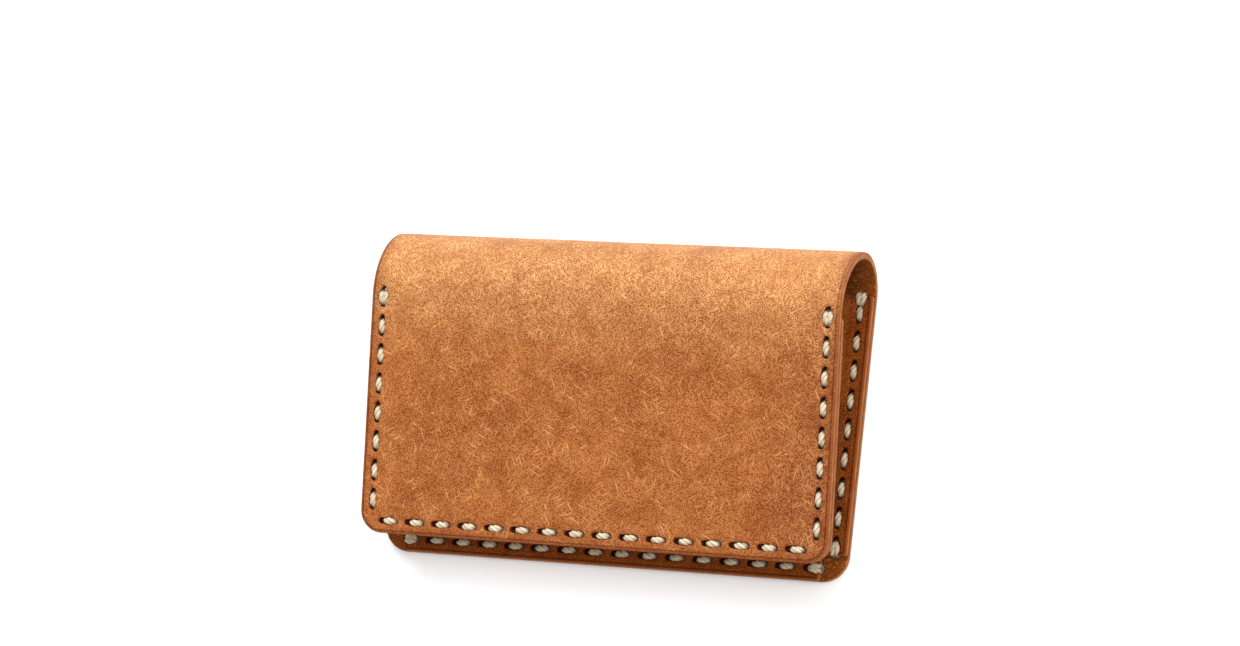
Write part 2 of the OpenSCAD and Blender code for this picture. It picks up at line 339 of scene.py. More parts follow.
class Sheet:
    """A sheet with an outer face and an inner face, each triangulated round its holes and pits, and joined by
    a rounded edge. place(u, v, w) gives the position of a point at depth w, and skin is the outer face's depth.
    rounding, pits and relief have a value for each face. The faces have an edge along each v in stops, where the
    sheet is cut later, and are finer between the two values of v in fold."""

    def __init__(self, loop, holes, place, skin, rounding, pits, relief, stops=(), fold=None):
        self.loop, self.holes, self.place, self.skin = loop, np.array(holes, float), place, skin
        self.rounding, self.pits, self.relief, self.stops, self.fold = rounding, pits, relief, stops, fold
        self.uvw, self.attr, self.tris, self.group, self.part = [], [], [], [], []
        self.close(self.face(0), self.face(1))
        for key in ("uvw", "attr", "tris", "group", "part"):
            setattr(self, key, np.concatenate(getattr(self, key)))
        self.xyz = place(*self.uvw.T)
        p = self.xyz[self.tris] - self.xyz.mean(0)
        if (p[:, 0] * np.cross(p[:, 1], p[:, 2])).sum() < 0:
            self.tris = self.tris[:, ::-1].copy()

    def lattice(self):
        """Points spread over the sheet, a little unevenly."""
        lo, hi = self.loop.min(0), self.loop.max(0)
        kept = []
        for step, above, upto in ((COARSE, COARSE_FROM, np.inf), (FINE, -np.inf, FINE_TO)):
            x, y = np.meshgrid(np.arange(lo[0], hi[0], step), np.arange(lo[1], hi[1], step * 0.866))
            x = x + np.where(np.arange(len(y)) % 2, step / 2, 0)[:, None]
            cells = np.stack([x.ravel(), y.ravel()], 1)
            d = edge_distance(cells, self.loop)
            kept.append(cells[(d > above) & (d <= upto)])
        if self.fold:
            low, high = self.fold
            kept = [k[(k[:, 1] < low) | (k[:, 1] > high)] for k in kept]
            x, y = np.meshgrid(np.arange(lo[0], hi[0], FOLD_STEP_U), np.arange(low, high, FOLD_STEP_V))
            kept.append(np.stack([x.ravel(), y.ravel()], 1))
        p = np.concatenate(kept)
        p = p + RNG.uniform(-0.02, 0.02, p.shape)
        return p[inside(p, self.loop[::3])]

    def pit_points(self, pits, clear):
        """Points on rings round each pit, where they don't run into another pit or the edge."""
        extra = []
        for i, pit in enumerate(pits):
            spine = pit.a + np.linspace(0.25, 0.75, 5)[:, None] * pit.d + pit.n * 0.02
            own = np.concatenate([pit.ring(k) for k in RINGS] + [spine])
            for j, other in enumerate(pits):
                if j != i and np.abs(other.a - pit.a).max() <= 8:
                    own = own[other.q(own) > (2.0 if j < i else 0.84)]
            extra.append(own)
        extra = np.concatenate(extra)
        extra = extra[inside(extra, self.loop)]
        return extra[edge_distance(extra, self.loop) > clear]

    def face(self, side):
        """Triangulates one face, and returns the index of its first vertex and of its first hole's vertex."""
        n, r, pits = len(self.loop), self.rounding[side], self.pits[side]
        depths = [0.0] + [r * k for k in ROUND_AT] + [r + CREASE_IN, r + RINGED]
        rings = [inset(self.loop, d) for d in depths]
        turn = np.linspace(0, 2 * np.pi, HOLE_SIDES, endpoint=False)
        circle = np.stack([np.cos(turn), np.sin(turn)], 1) * HOLE_R
        p = self.lattice()
        p = p[edge_distance(p, self.loop) > depths[-1] + CLEAR_RING]
        if pits:
            extra = self.pit_points(pits, depths[-1] + PIT_CLEAR_RING)
            p = np.concatenate([p[pit_relief(p, pits)[1] > CLEAR_RIM], extra])
        for h in self.holes:
            p = p[((p - h) ** 2).sum(1) > (HOLE_R + CLEAR_HOLE) ** 2]
        for stop in self.stops:
            x = np.arange(-HALF_W + 1.6, HALF_W - 1.5, 1.0)
            across = np.stack([x, np.full(len(x), stop)], 1)
            p = np.concatenate([p[np.abs(p[:, 1] - stop) > CLEAR_CUT], across])
        points = np.concatenate(rings + [h + circle for h in self.holes] + [p])
        first_hole = len(rings) * n
        dist = np.concatenate([np.repeat(depths, n), edge_distance(points[first_hole:], self.loop)])
        edges, on = [], np.full(len(points), -1)
        for first, size in [(0, n)] + [(first_hole + HOLE_SIDES * k, HOLE_SIDES) for k in range(len(self.holes))]:
            edges += [(first + i, first + (i + 1) % size) for i in range(size)]
            on[first : first + size] = first
        for stop in self.stops:
            row_at = np.flatnonzero(np.abs(points[:, 1] - stop) < 1e-7)
            row_at = row_at[np.argsort(points[row_at, 0])].tolist()
            edges += list(zip(row_at[:-1], row_at[1:]))
        tris = np.array(delaunay_2d_cdt([Vector(q) for q in points.tolist()], edges, [], 0, 1e-7)[2])
        # A triangle with all its corners on the outline, or on one hole, isn't part of the sheet
        a, b, c = on[tris].T
        tris = tris[(a < 0) | (a != b) | (b != c)]
        fall = np.clip(1 - dist / r, 0, 1)
        low = r * (1 - np.sqrt(np.clip(1 - fall**2, 0, 1)))
        sunk, rim = pit_relief(points, pits)
        crease = CREASE_DEEP * np.exp(-(((dist - r - CREASE_IN) / CREASE_W) ** 2))
        drop = np.maximum(low + crease, sunk) - self.relief(points[:, 0], points[:, 1], side)
        w = self.skin + drop if side == 0 else self.skin + THICK - drop
        start = sum(len(a) for a in self.uvw)
        self.uvw.append(np.column_stack([points, w]))
        self.attr.append(np.column_stack([dist, rim]))
        self.tris.append(tris + start if side == 0 else tris[:, ::-1] + start)
        self.group.append(np.full(len(tris), side))
        self.part.append(np.full(len(points), side))
        return start, start + first_hole

    def close(self, outer, inner):
        """Joins the two faces round the outline and round each hole."""
        n = len(self.loop)
        uvw = np.concatenate(self.uvw)
        top, bottom = uvw[outer[0] : outer[0] + n, 2], uvw[inner[0] : inner[0] + n, 2]
        out = self.loop - inset(self.loop, 1.0)
        out /= np.linalg.norm(out, axis=1)[:, None]
        steps, start = (0.2, 0.5, 0.8), len(uvw)
        layers = [np.arange(n) + outer[0]]
        for k, s in enumerate(steps):
            wave = 0.012 * noise2(np.arange(n) * 0.5, np.full(n, 31.0 + 7 * k), 1.2)
            p = self.loop + out * (0.035 * math.sin(math.pi * s) + wave)[:, None]
            self.uvw.append(np.column_stack([p, top + (bottom - top) * s]))
            from_outer = top - self.skin + (bottom - top) * s
            from_inner = self.skin + THICK - bottom + (bottom - top) * (1 - s)
            self.attr.append(np.column_stack([-np.minimum(from_outer, from_inner), np.full(n, 4.0)]))
            self.part.append(np.full(n, 2 + k))
            layers.append(np.arange(n) + start + k * n)
        layers.append(np.arange(n) + inner[0])
        for a, b in zip(layers[:-1], layers[1:]):
            self.wall(a, b, 2)
        for k in range(len(self.holes)):
            turn = HOLE_SIDES * k + np.arange(HOLE_SIDES)[::-1]
            self.wall(outer[1] + turn, inner[1] + turn, 3)

    def wall(self, a, b, group):
        """A closed band of faces between two loops of vertices."""
        a2, b2 = np.roll(a, -1), np.roll(b, -1)
        self.tris.append(np.concatenate([np.stack([a, b, b2], 1), np.stack([a, b2, a2], 1)]))
        self.group.append(np.full(2 * len(a), group))

    def normals(self):
        """Smooth normals of the whole sheet, at its vertices."""
        p = self.xyz[self.tris]
        n = np.cross(p[:, 1] - p[:, 0], p[:, 2] - p[:, 0])
        total = np.zeros_like(self.xyz)
        for k in range(3):
            np.add.at(total, self.tris[:, k], n)
        return total / np.maximum(np.linalg.norm(total, axis=1), 1e-12)[:, None]


def make_mesh(name, xyz, tris, group, materials, uv, attr, normals=None):
    """A smooth mesh object with a UV map in flat millimetres and named values at its vertices."""
    me = bpy.data.meshes.new(name)
    me.vertices.add(len(xyz))
    me.vertices.foreach_set("co", (xyz * MM).astype(np.float32).ravel())
    me.loops.add(3 * len(tris))
    me.loops.foreach_set("vertex_index", tris.astype(np.int32).ravel())
    me.polygons.add(len(tris))
    me.polygons.foreach_set("loop_start", np.arange(0, 3 * len(tris), 3, dtype=np.int32))
    me.update(calc_edges=True)
    me.polygons.foreach_set("use_smooth", np.ones(len(tris), bool))
    me.polygons.foreach_set("material_index", group.astype(np.int32))
    layer = me.uv_layers.new(name="flat")
    layer.data.foreach_set("uv", uv.astype(np.float32).ravel())
    for key, values in attr.items():
        me.attributes.new(key, "FLOAT", "POINT").data.foreach_set("value", values.astype(np.float32))
    for m in materials:
        me.materials.append(m)
    me.validate()
    if normals is not None:
        me.normals_split_custom_set_from_vertices(normals.astype(np.float32).tolist())
    ob = bpy.data.objects.new(name, me)
    bpy.context.scene.collection.objects.link(ob)
    return ob


# The UV maps hold millimetres over this, and the inner face is moved by this much
UV_SIZE = 200.0
INNER_MOVE = (333.0, 57.0)


def sheet_uv(sheet, tris, group):
    """Flat millimetres over UV_SIZE for each corner. Edges carry on past the outline."""
    p = sheet.uvw[tris].reshape(-1, 3)
    g = np.repeat(group, 3)
    shift = np.where((g >= 2)[:, None], np.stack([p[:, 2], p[:, 2] * 0.7], 1), 0)
    uv = p[:, :2] + shift + np.where((g == 1)[:, None], INNER_MOVE, 0.0)
    return uv / UV_SIZE


def cap(sheet, used, stop, up):
    """Triangles that close a part of a sheet where it is cut at v = stop. up says that the part lies below it."""
    at = used[np.abs(sheet.uvw[used, 1] - stop) < 1e-6]
    u, part = sheet.uvw[at, 0], sheet.part[at]
    outer, inner = at[part == 0], at[part == 1]
    outer = outer[np.argsort(sheet.uvw[outer, 0])]
    inner = inner[np.argsort(-sheet.uvw[inner, 0])]
    right, left = at[(part > 1) & (u > 0)], at[(part > 1) & (u < 0)]
    right, left = right[np.argsort(sheet.part[right])], left[np.argsort(-sheet.part[left])]
    loop = np.concatenate([outer, right, inner, left])
    flat = [Vector((a, b, 0)) for a, b in sheet.uvw[loop][:, (0, 2)].tolist()]
    tris = loop[np.array(tessellate_polygon([flat]), int)]
    return tris[:, ::-1] if up else tris


def sheet_object(name, sheet, materials, keep=(-1e9, 1e9)):
    """An object from a sheet, or from the part of it between two values of v, closed by caps there."""
    centre = sheet.uvw[sheet.tris][:, :, 1].mean(1)
    on = (centre > keep[0]) & (centre < keep[1])
    tris, group = sheet.tris[on], sheet.group[on]
    used = np.unique(tris)
    for stop, up in ((keep[0], False), (keep[1], True)):
        if abs(stop) < 1e8:
            closing = cap(sheet, used, stop, up)
            tris = np.concatenate([tris, closing])
            group = np.concatenate([group, np.full(len(closing), 2)])
    place = np.full(len(sheet.uvw), -1)
    place[used] = np.arange(len(used))
    uv = sheet_uv(sheet, tris, group)
    a = sheet.attr[used]
    attr = {"edge_mm": a[:, 0], "rim_mm": a[:, 1]}
    slots = np.array([0, 1, 2, 2])[group]
    return make_mesh(name, sheet.xyz[used], place[tris], slots, materials, uv, attr, sheet.normals()[used])


# ---- Thread ----
# Radius of a stitch that shows, of one on the hidden side, of each of a pair, and where the thread is in a hole
THREAD_R, HIDDEN_R, PAIR_R, NECK_R = 0.79, 0.6, 0.68, 0.43
THREAD_STEP, SIDES, TWIST = 0.13, 21, 1.5
# The three plies' distance from the middle and their radius, as shares of the thread's radius
PLY_OUT, PLY_R = 0.46, 0.54
# How far the middle of a stitch lies towards its blunt end, and how far a doubled pair spreads
SLIDE, SPREAD = 0.34, 0.56


def stitch_run(start, end, w_show, w_hole, shift, fan, blunt, r_top):
    """Points (u, v, depth, radius) of one stitch between two holes. It rises steeply at its blunt end, which is
    1 for the start, -1 for the end or 0 for neither, and tapers into the other hole."""
    a, b = np.array(start, float), np.array(end, float)
    t = (b - a) / np.linalg.norm(b - a)
    n = np.array([-t[1], t[0]])
    s = np.linspace(0.0, 1.0, 29)
    along = 1 - s if blunt < 0 else s
    steep, gentle = (4.6, 2.1) if blunt else (3.0, 3.0)
    peak = 0.44 if blunt else 0.5
    reach = np.where(along < peak, (peak - along) / peak, (along - peak) / (1 - peak))
    bow = np.clip(1 - reach ** np.where(along < peak, steep, gentle), 0, 1)
    slide = SLIDE * blunt * bow
    spread = np.sin(np.pi * np.where(fan < 0, 1 - s, s) ** (0.55 if fan else 1)) ** 0.7
    p = a + s[:, None] * (b - a) + n * (shift * spread)[:, None] + t * slide[:, None]
    w = w_hole + (w_show - w_hole) * bow
    r = NECK_R + (r_top - NECK_R) * bow ** np.where(along < peak, 1.8 if blunt else 0.8, 0.8)
    return np.column_stack([p, w, r])


class Seam:
    """One thread through a row of holes: visits are the holes in order, and it shows on every second stretch.
    doubled are its doubled stretches, from the hole where they spread. pulled is the way it was pulled tight."""

    def __init__(self, visits, shown_w, hidden_w, middle_w, doubled, pulled):
        runs, seen = [], {}
        for i, (a, b) in enumerate(zip(visits[:-1], visits[1:])):
            shows = i % 2 == 0
            key = (shows,) + tuple(sorted([a, b]))
            seen[key] = seen.get(key, 0) + 1
            fan = shows * ((a, b) in doubled) - shows * ((b, a) in doubled)
            flip = 1 if a < b else -1
            shift = (SPREAD if seen[key] == 1 else -SPREAD) * flip if fan else RNG.uniform(-0.05, 0.05)
            blunt = int(np.sign((b[0] - a[0]) * pulled[0] + (b[1] - a[1]) * pulled[1])) if shows else 0
            w = (shown_w if shows else hidden_w) + RNG.uniform(-0.05, 0.05)
            r = (PAIR_R if fan else THREAD_R if shows else HIDDEN_R) * RNG.uniform(0.95, 1.03)
            runs.append(stitch_run(a, b, w, middle_w, shift, fan, blunt, r))
        self.path = np.concatenate([r if i == 0 else r[1:] for i, r in enumerate(runs)])


def resample(path, step):
    """The path at even steps, and the length along it at each."""
    d = np.concatenate([[0], np.cumsum(np.linalg.norm(np.diff(path[:, :3], axis=0), axis=1))])
    s = np.linspace(0, d[-1], int(d[-1] / step) + 1)
    return np.stack([np.interp(s, d, path[:, k]) for k in range(path.shape[1])], 1), s


def thread_object(name, seam, material):
    """A twisted three-ply cord along a seam's path."""
    flat = seam.path
    xyz = on_cover(*flat[:, :3].T)
    path, s = resample(np.column_stack([xyz, flat[:, 3], flat[:, 2]]), THREAD_STEP)
    for _ in range(4):
        path[1:-1] = 0.25 * path[:-2] + 0.5 * path[1:-1] + 0.25 * path[2:]
    p, r, m = path[:, :3], path[:, 3], len(path)
    t = np.gradient(p, axis=0)
    t /= np.linalg.norm(t, axis=1)[:, None]
    n = np.zeros_like(p)
    n[0] = np.cross(t[0], (1, 0, 0))
    n[0] /= np.linalg.norm(n[0])
    for i in range(1, m):
        q = n[i - 1] - t[i] * (n[i - 1] @ t[i])
        n[i] = q / np.linalg.norm(q)
    b = np.cross(t, n)
    around = np.linspace(0, 2 * np.pi, SIDES, endpoint=False)
    phase = around - TWIST * s[:, None]
    third = (phase % (2 * np.pi / 3)) - np.pi / 3
    lobe = PLY_OUT * np.cos(third) + np.sqrt(PLY_R**2 - (PLY_OUT * np.sin(third)) ** 2)
    lumps = 1 + 0.035 * noise2(s[:, None], 9.0 * np.sin(around), 0.9)
    rad = r[:, None] * (0.62 * lobe + 0.40) * lumps
    ring = n[:, None] * np.cos(around)[None, :, None] + b[:, None] * np.sin(around)[None, :, None]
    xyz = (p[:, None] + ring * rad[:, :, None]).reshape(-1, 3)
    i, j = np.meshgrid(np.arange(m - 1) * SIDES, np.arange(SIDES), indexing="ij")
    j2 = (j + 1) % SIDES
    quad = np.stack([i + j, i + j2, i + SIDES + j2, i + SIDES + j], -1).reshape(-1, 4)
    xyz = np.concatenate([xyz, [p[0] - t[0] * 0.2, p[-1] + t[-1] * 0.2]])
    a, b2, last, tip = j[0], j2[0], (m - 1) * SIDES, np.full(SIDES, m * SIDES)
    ends = [np.stack([b2, a, tip], 1), np.stack([last + a, last + b2, tip + 1], 1)]
    tris = np.concatenate([quad[:, [0, 1, 2]], quad[:, [0, 2, 3]]] + ends)
    uv = np.stack(np.broadcast_arrays(phase / (2 * np.pi), s[:, None] / 10), -1).reshape(-1, 2)
    uv = np.concatenate([uv, [[0, 0], [0, s[-1] / 10]]])
    corner = uv[tris].reshape(-1, 3, 2)
    turns = corner[:, :, 0]
    turns += turns < turns.max(1)[:, None] - 0.5
    deep = np.concatenate([np.repeat(path[:, 4], SIDES), path[[0, -1], 4]])
    group = np.zeros(len(tris), int)
    return make_mesh(name, xyz, tris, group, [material], corner.reshape(-1, 2), {"depth_mm": deep})


# ---- Holes of the seams, in the cover's layout ----
def row(n, u0, du, v0, dv):
    """n holes in a row, from (u0, v0) in steps of (du, dv)."""
    return [(u0 + du * i, v0 + dv * i) for i in range(n)]


FLAP_BOTTOM = row(BOTTOM_HOLES, -ROW_HALF, STITCH, V_END - MARGIN, 0)
FLAP_SIDE = {s: row(FLAP_SIDE_HOLES, s * SIDE_U, 0, V_END - MARGIN - CORNER_STEP, -STITCH) for s in (-1, 1)}
BACK_BOTTOM = row(BOTTOM_HOLES, -ROW_HALF, STITCH, MARGIN, 0)
BACK_SIDE = {s: row(BACK_SIDE_HOLES, s * SIDE_U, 0, MARGIN + CORNER_STEP, STITCH) for s in (-1, 1)}


def pits_of(holes, first, extra=(), doubled=(), pulled=None):
    """Pits between neighbouring holes: in every second gap from the first, and in the extra ones."""
    gaps = list(range(first, len(holes) - 1, 2)) + list(extra)
    return [Pit(holes[i], holes[i + 1], i in doubled, pulled) for i in gaps]


# ---- Materials ----
class Nodes:
    """Short names for the nodes of one material, or of the world."""

    def __init__(self, owner, shader="Principled BSDF"):
        owner.use_nodes = True
        self.owner, self.tree = owner, owner.node_tree
        self.shader = self.tree.nodes[shader]

    def new(self, kind, inputs=(), **settings):
        node = self.tree.nodes.new(kind)
        for key, value in settings.items():
            setattr(node, key, value)
        for key, value in dict(inputs).items():
            self.put(node.inputs[key], value)
        return node

    def put(self, socket, value):
        if isinstance(value, bpy.types.NodeSocket):
            self.tree.links.new(value, socket)
        elif isinstance(value, bpy.types.Node):
            self.tree.links.new(value.outputs[0], socket)
        else:
            socket.default_value = value

    def math(self, op, a, b=0.0):
        return self.new("ShaderNodeMath", {0: a, 1: b}, operation=op).outputs[0]

    def times(self, a, b):
        return self.math("MULTIPLY", a, b)

    def total(self, *terms, plus=0.0):
        """The sum of values, each with its weight, and of a number."""
        for value, weight in terms:
            plus = self.math("ADD", self.times(value, weight), plus)
        return plus

    def vec(self, op, a, b=(0, 0, 0), scale=None):
        node = self.new("ShaderNodeVectorMath", {0: a, 1: b}, operation=op)
        if scale is not None:
            self.put(node.inputs["Scale"], scale)
        return node.outputs[0]

    def step(self, value, low, high, to=(0.0, 1.0)):
        """A soft step: to[0] at low, and to[1] at high."""
        inputs = {"Value": value, "From Min": low, "From Max": high, "To Min": to[0], "To Max": to[1]}
        return self.new("ShaderNodeMapRange", inputs, interpolation_type="SMOOTHSTEP").outputs[0]

    def mix(self, factor, a, b):
        node = self.new("ShaderNodeMix", data_type="RGBA")
        for socket, value in zip((node.inputs[0], node.inputs[6], node.inputs[7]), (factor, a, b)):
            if isinstance(value, tuple):
                value = (*value, 1.0) if len(value) == 3 else value
            self.put(socket, value)
        return node.outputs[2]

    def noise(self, vector, scale, detail=2.0, rough=0.5, distort=0.0):
        inputs = {"Vector": vector, "Scale": scale, "Detail": detail, "Roughness": rough, "Distortion": distort}
        return self.new("ShaderNodeTexNoise", inputs).outputs["Fac"]

    def warped(self, p, scale, amounts):
        """The vector p moved about by noise, by each of the amounts."""
        drift = self.new("ShaderNodeTexNoise", {"Vector": p, "Scale": scale, "Detail": 1.0})
        by = self.vec("SUBTRACT", drift.outputs["Color"], (0.5, 0.5, 0.5))
        return [self.vec("ADD", p, self.vec("SCALE", by, scale=amount)) for amount in amounts]

    def ramp(self, tone, low, high, *between):
        """A colour ramp: low and high, and any others between them, are pairs of a position and a colour."""
        node = self.new("ShaderNodeValToRGB", {"Fac": tone})
        stops = node.color_ramp.elements
        for stop, (position, colour) in zip(stops, (low, high)):
            stop.position, stop.color = position, (*colour, 1)
        for position, colour in between:
            stops.new(position).color = (*colour, 1)
        return node.outputs[0]

    def attribute(self, name):
        return self.new("ShaderNodeAttribute", attribute_name=name).outputs["Fac"]

    def flat_mm(self):
        uv = self.new("ShaderNodeUVMap", uv_map="flat").outputs[0]
        return self.vec("SCALE", uv, scale=UV_SIZE)

    def shine(self, **levels):
        """Sets values on the shader's own sockets."""
        for key, value in levels.items():
            self.shader.inputs[key.replace("_", " ")].default_value = value

    def finish(self, colour, rough, height, distance, strength=1.0):
        self.put(self.shader.inputs["Base Color"], colour)
        self.put(self.shader.inputs["Roughness"], rough)
        bump = self.new("ShaderNodeBump", {"Height": height, "Distance": distance, "Strength": strength})
        self.put(self.shader.inputs["Normal"], bump.outputs[0])
        return self.owner


def strokes(m, p, kinds, seed, low, high, rare):
    """Fine hairs: for each angle, length and width, the cells of a stretched Voronoi. Their middles show, from low
    to high, and each has a weight of its own. A larger rare leaves more of them out."""
    out = None
    for k, (angle, length, width) in enumerate(kinds, seed):
        turned = m.new("ShaderNodeVectorRotate", {"Vector": p, "Angle": angle}, rotation_type="Z_AXIS")
        inputs = {"Vector": turned, "Location": (k * 3.7, k * 1.3, 0), "Scale": (1 / length, 1 / width, 1)}
        moved = m.new("ShaderNodeMapping", inputs)
        cell = m.new("ShaderNodeTexVoronoi", {"Vector": moved, "Scale": 1.0}, voronoi_dimensions="2D")
        weight = m.new("ShaderNodeSeparateColor", {"Color": cell.outputs["Color"]}).outputs[0]
        one = m.times(m.step(cell.outputs["Distance"], high, low), m.step(weight, rare, 1.0))
        out = one if out is None else m.math("MAXIMUM", out, one)
    return out


# The colour of long loose hairs, and of the paler flecks and tone over the fold, which are partly stretched
# leather and partly painted highlight
PALE_HAIR_AND_FOLD_HIGHLIGHT = (0.78, 0.45, 0.19)
# The tint of the leather's reflections
WARM = (1.0, 0.70, 0.42, 1.0)
SHORT_HAIRS = ((0.35, 1.5, 0.40), (0.95, 1.65, 0.40), (1.9, 1.8, 0.40), (2.6, 1.95, 0.40))
HAIRS = ((0.2, 3.0, 0.6), (0.85, 4.4, 0.7), (1.6, 3.6, 0.62), (2.4, 4.0, 0.66))
LONG_HAIRS = ((0.5, 10.0, 1.0), (1.3, 11.5, 1.0), (2.0, 13.0, 1.0), (2.65, 14.5, 1.0))
FIBRES = ((0.3, 1.5, 0.36), (1.1, 2.0, 0.4), (1.9, 1.4, 0.36), (2.7, 1.8, 0.42))


def grain_leather(name, dark, mid, light, hair, hair_amount, long_amount, fold_pale_and_highlight, rough, spec):
    """Grain side of waxed leather: speckled, with dense fine pale hairs, paler over the fold, partly for the
    stretched leather and partly as a painted highlight, darker at its margins, with a dark crease by the edge,
    painted shade in and round its slots, and painted shade along the flap's right side and a painted highlight
    along its left."""
    m = Nodes(bpy.data.materials.new(name))
    p = m.flat_mm()
    q, straight = m.warped(p, 0.5, (1.1, 0.4))
    broad = m.noise(p, 0.035, 3.0, 0.55)
    patch = m.noise(p, 0.17, 3.0, 0.6, 0.6)
    fine = m.noise(q, 1.1, 3.0, 0.65)
    speck = m.noise(p, 2.7, 1.0, 0.5)
    fleck = m.step(m.noise(p, 4.3, 0.0), 0.53, 0.64)
    short = strokes(m, straight, SHORT_HAIRS, 31, 0.12, 0.27, 0.1)
    hairs = strokes(m, q, HAIRS, 1, 0.08, 0.2, 0.3)
    long_hairs = strokes(m, straight, LONG_HAIRS, 12, 0.06, 0.13, 0.55)

    u, v = m.new("ShaderNodeSeparateXYZ", {"Vector": p}).outputs[:2]
    # Painted shade along the flap's right side, where less light falls, and a painted highlight along its left,
    # where the surface bulges towards the light
    painted_side_light = m.math("SUBTRACT", m.step(u, 34.0, 52.0, (0.0, 0.3)), m.step(u, -42.0, -51.0, (0.0, 0.12)))
    on_flap = m.step(v, V_FLAP - 6, V_FLAP + 16)
    # Paler over the fold: partly the stretched leather, partly a painted highlight where the fold faces the light
    near_fold = m.step(m.math("ABSOLUTE", m.math("SUBTRACT", v, (V_REAR + V_FLAP) / 2)), 36.0, 12.0)
    tone = m.total((broad, 0.7), (patch, 0.6), (fine, 0.3), (speck, 2.4), (near_fold, fold_pale_and_highlight), plus=-1.5)
    tone = m.math("SUBTRACT", tone, m.times(painted_side_light, on_flap))
    colour = m.ramp(tone, (0.2, dark), (0.85, light), (0.5, mid))

    # Over the fold the hairs and the tone go paler, partly stretched leather and partly painted highlight
    if fold_pale_and_highlight:
        hair = m.mix(near_fold, hair, PALE_HAIR_AND_FOLD_HIGHLIGHT)
    amount = m.total((m.step(patch, 0.3, 0.7, (0.5, 1.0)), hair_amount), (near_fold, fold_pale_and_highlight))
    colour = m.mix(m.times(near_fold, 0.3 * fold_pale_and_highlight), colour, PALE_HAIR_AND_FOLD_HIGHLIGHT)
    for layer, share, tint in (
        (m.math("MAXIMUM", fleck, short), 0.95, hair), (hairs, 0.7, hair), (long_hairs, long_amount, PALE_HAIR_AND_FOLD_HIGHLIGHT)
    ):
        colour = m.mix(m.times(layer, m.times(amount, share)), colour, tint)

    edge, rim = m.attribute("edge_mm"), m.attribute("rim_mm")
    margin = m.times(m.step(edge, 3.4, 0.8), m.step(broad, 0.3, 0.7, (0.10, 0.34)))
    colour = m.mix(margin, colour, dark)
    purple = tuple(a * b for a, b in zip(dark, (0.42, 0.30, 0.8)))
    crease = m.times(m.step(edge, 0.34, 0.5), m.step(edge, 0.92, 0.62))
    colour = m.mix(m.times(crease, m.step(fine, 0.2, 0.8, (0.5, 0.85))), colour, purple)
    colour = m.mix(m.step(edge, 0.46, 0.2, (0.0, 0.7)), colour, tuple(1.05 * c for c in mid))
    # Painted shade: a little darker round the slots' rims and much darker on their walls, where shade falls
    near_slot = m.step(rim, 0.9, 0.02)
    colour = m.mix(m.times(near_slot, 0.12), colour, dark)
    colour = m.mix(m.step(rim, 0.0, -0.16), colour, tuple(0.34 * c for c in dark))

    roughness = m.total((fine, 0.16), (m.math("MAXIMUM", near_slot, crease), -0.12), plus=rough - 0.08)
    height = m.total((hairs, 0.35), (fine, 0.5), (speck, 0.5), (short, 0.5))
    m.shine(Specular_IOR_Level=spec, Specular_Tint=WARM)
    return m.finish(colour, roughness, height, 0.09 * MM, 0.9)


def edge_leather(name, dark, mid, light):
    """A burnished cut edge: polished, with thin darker streaks along it and a dark line where two layers meet."""
    m = Nodes(bpy.data.materials.new(name))
    p = m.flat_mm()
    edge = m.attribute("edge_mm")
    along = m.noise(p, 0.8, 3.0, 0.6)
    level = m.new("ShaderNodeCombineXYZ", {"X": m.times(edge, 5.0), "Y": along})
    layer = m.noise(level, 1.6, 2.0)
    tone = m.total((layer, 0.6), (m.noise(p, 0.3, 2.0), 0.5))
    colour = m.ramp(tone, (0.3, dark), (0.78, light), (0.52, mid))
    colour = m.mix(m.step(edge, -0.26, -0.02, (0.0, 0.8)), colour, tuple(0.35 * c for c in dark))
    m.shine(Specular_IOR_Level=0.09, Specular_Tint=WARM)
    rough, height = m.total((along, 0.2), plus=0.34), m.total((layer, 1.0), (along, 0.5))
    return m.finish(colour, rough, height, 0.06 * MM, 0.7)


def flesh_leather(name, dark, mid, light):
    """The rough flesh side, with its nap and loose fibres."""
    m = Nodes(bpy.data.materials.new(name))
    p = m.flat_mm()
    (q,) = m.warped(p, 0.6, (2.8,))
    fibres = strokes(m, q, FIBRES, 21, 0.08, 0.3, 0.25)
    patch, fine = m.noise(p, 0.25, 3.0), m.noise(p, 1.9, 4.0, 0.7)
    colour = m.ramp(m.total((patch, 0.6), (fine, 0.5)), (0.3, dark), (0.78, mid))
    colour = m.mix(m.times(fibres, 0.55), colour, light)
    m.shine(Specular_IOR_Level=0.12, Specular_Tint=WARM, Sheen_Weight=0.03, Sheen_Tint=(1.0, 0.75, 0.5, 1.0))
    height = m.total((fibres, 0.8), (fine, 1.2))
    return m.finish(colour, m.total((fine, 0.1), plus=0.85), height, 0.18 * MM)


